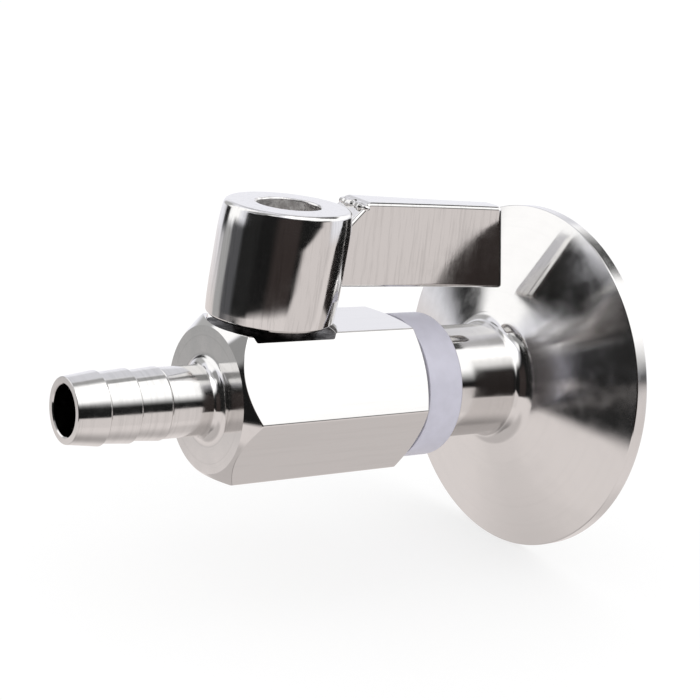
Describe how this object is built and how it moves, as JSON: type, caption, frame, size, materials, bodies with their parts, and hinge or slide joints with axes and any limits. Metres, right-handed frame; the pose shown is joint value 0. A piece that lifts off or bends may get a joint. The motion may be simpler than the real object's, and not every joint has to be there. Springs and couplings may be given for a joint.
{
  "type": "ball valve",
  "caption": "Small stainless ball valve: hexagon body with a hose barb, bar lever on a round hub, white ring and a sanitary clamp ferrule.",
  "frame": {"origin": "centre of the ferrule's sealing face, on the flow axis", "axes": "+X out of the ferrule's face along the flow axis, the hose barb points to -X; +Z along the stem towards the handle"},
  "size_m": [0.0746, 0.0504, 0.0519],
  "materials": {
    "polished_steel": "mirror-polished stainless steel",
    "machined_steel": "turned stainless steel",
    "white_plastic": "smooth white plastic",
    "seat_plastic": "white fluoropolymer",
    "seal_rubber": "black elastomer"
  },
  "bodies": {
    "valve": {"valve_body": "polished_steel", "ferrule": "polished_steel", "end_insert": "machined_steel", "stop_pin": "machined_steel", "sealing_ring": "white_plastic", "seat_front": "seat_plastic", "seat_rear": "seat_plastic", "stem_thrust_washer": "seat_plastic", "body_seal": "seal_rubber"},
    "turning_group": {"handle": "polished_steel", "stem": "machined_steel", "ball": "machined_steel", "stem_o_ring_lower": "seal_rubber", "stem_o_ring_upper": "seal_rubber", "flat_washer": "machined_steel", "lock_washer": "machined_steel", "handle_screw": "machined_steel"}
  },
  "joints": [
    {"name": "handle_turn", "type": "hinge", "parent": "valve", "child": "turning_group", "pos_m": [-0.04592, 0, 0], "axis": [0, 0, 1], "range_deg": [-90, 0]}
  ]
}
